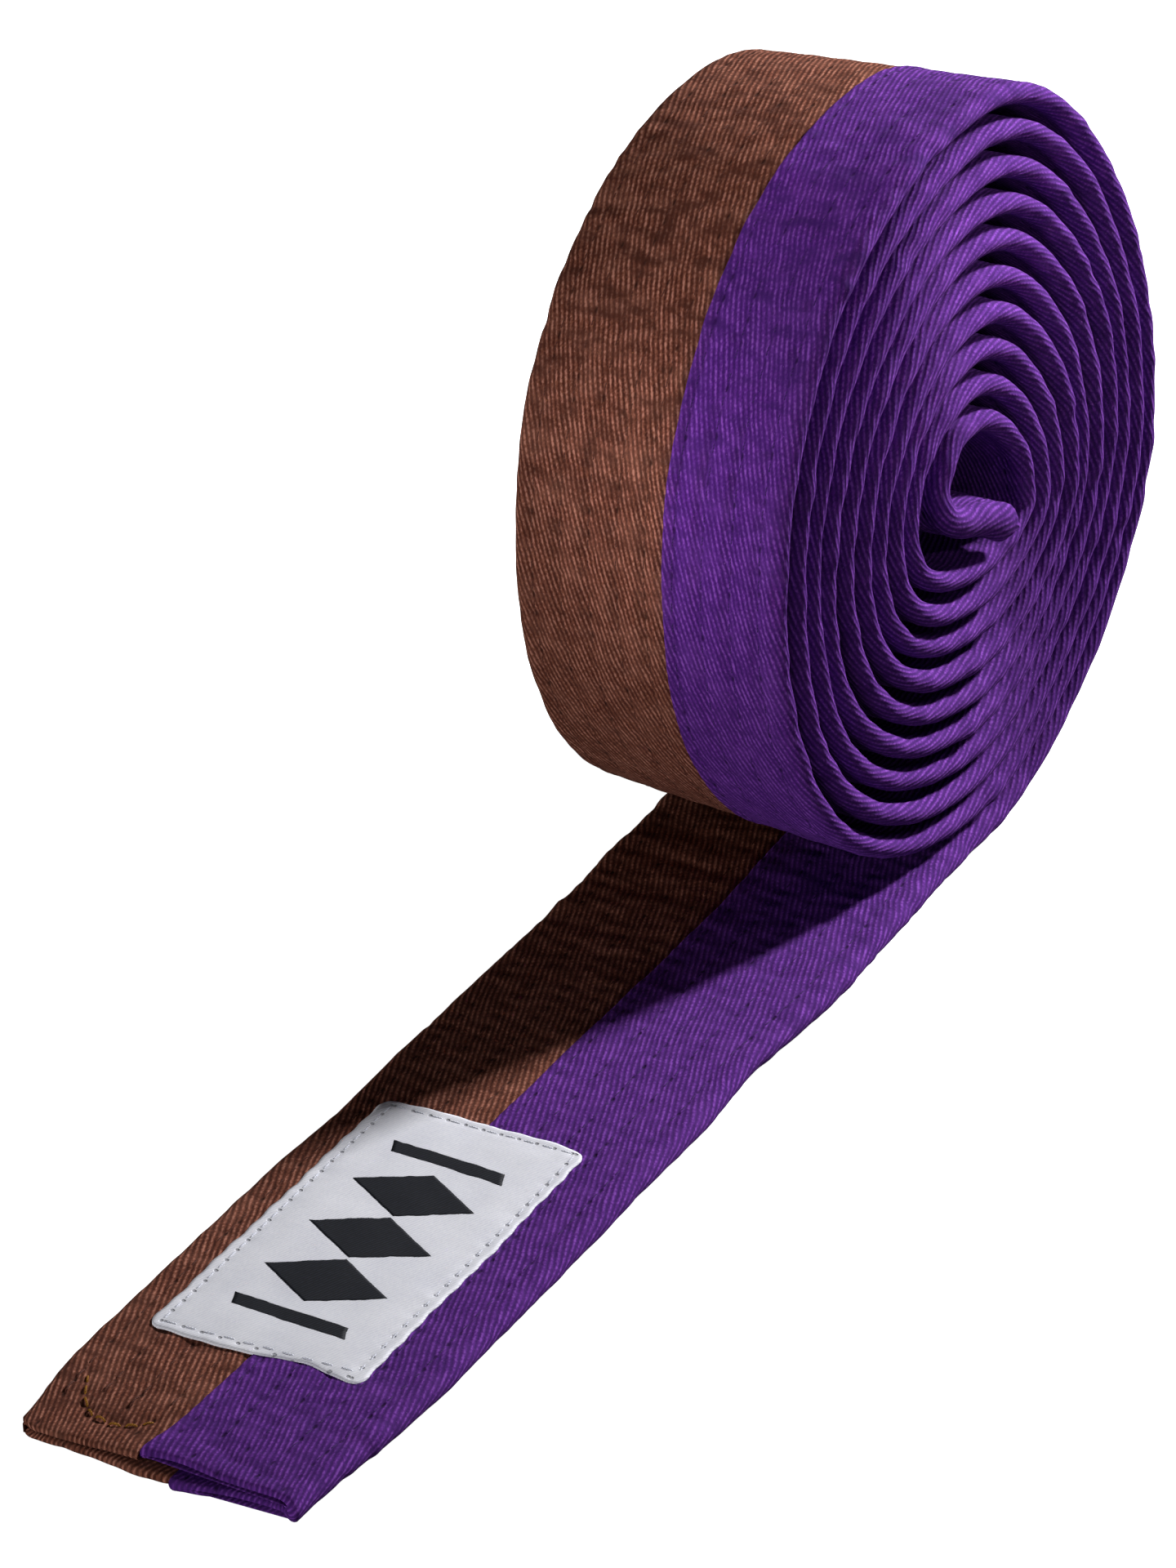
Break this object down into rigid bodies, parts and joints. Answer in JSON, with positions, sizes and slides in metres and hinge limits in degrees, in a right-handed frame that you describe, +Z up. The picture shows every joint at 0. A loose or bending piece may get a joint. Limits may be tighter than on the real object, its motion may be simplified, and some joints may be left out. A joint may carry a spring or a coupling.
{
  "type": "martial arts belt",
  "caption": "Two-colour quilted cotton belt, rolled into a coil that stands on its edge, with its free end lying flat in front.",
  "frame": {"origin": "on the ground, in the middle of the rolled belt's outline seen from above", "axes": "+Z up; -Y along the free end, away from the coil; +X toward the purple edge"},
  "size_m": [0.0484, 0.2108, 0.1032],
  "materials": {
    "brown_twill": "matt cotton twill",
    "purple_twill": "matt cotton twill",
    "interlining": "plain-weave cotton interlining",
    "brown_thread": "sewing thread",
    "purple_thread": "sewing thread",
    "gold_thread": "sewing thread",
    "label_satin": "woven satin label",
    "label_thread": "sewing thread"
  },
  "bodies": {
    "coil": {"coil_cover_brown": "brown_twill", "coil_cover_purple": "purple_twill", "coil_core_outer": "interlining", "coil_core_inner": "interlining", "tread_quilting_brown": "brown_thread", "tread_quilting_purple": "purple_thread", "foot_quilting_brown": "brown_thread", "foot_quilting_purple": "purple_thread", "inner_end_stitching": "purple_thread"},
    "flap": {"flap_cover_brown": "brown_twill", "flap_cover_purple": "purple_twill", "flap_core_outer": "interlining", "flap_core_inner": "interlining", "flap_quilting_brown": "brown_thread", "flap_quilting_purple": "purple_thread", "cross_stitching": "brown_thread"},
    "panel": {"panel_cover_brown": "brown_twill", "panel_cover_purple": "purple_twill", "panel_core_outer": "interlining", "panel_core_inner": "interlining", "panel_quilting_brown": "brown_thread", "panel_quilting_purple": "purple_thread", "label": "label_satin", "label_stitching": "label_thread"},
    "tip": {"tip_cover_brown": "brown_twill", "tip_cover_purple": "purple_twill", "tip_core_outer": "interlining", "tip_core_inner": "interlining", "tip_quilting_brown": "brown_thread", "tip_quilting_purple": "purple_thread", "tip_stitching_brown": "gold_thread", "tip_stitching_purple": "purple_thread"}
  },
  "joints": [
    {"name": "fold_at_coil", "type": "hinge", "parent": "coil", "child": "flap", "pos_m": [0, 0.00857, 0.00145], "axis": [-1, 0, 0], "range_deg": [0, 60]},
    {"name": "fold_before_label", "type": "hinge", "parent": "flap", "child": "panel", "pos_m": [0, -0.02142, 0.00145], "axis": [-1, 0, 0], "range_deg": [0, 45]},
    {"name": "fold_before_tip", "type": "hinge", "parent": "panel", "child": "tip", "pos_m": [0, -0.08743, 0.00145], "axis": [-1, 0, 0], "range_deg": [0, 45]}
  ]
}
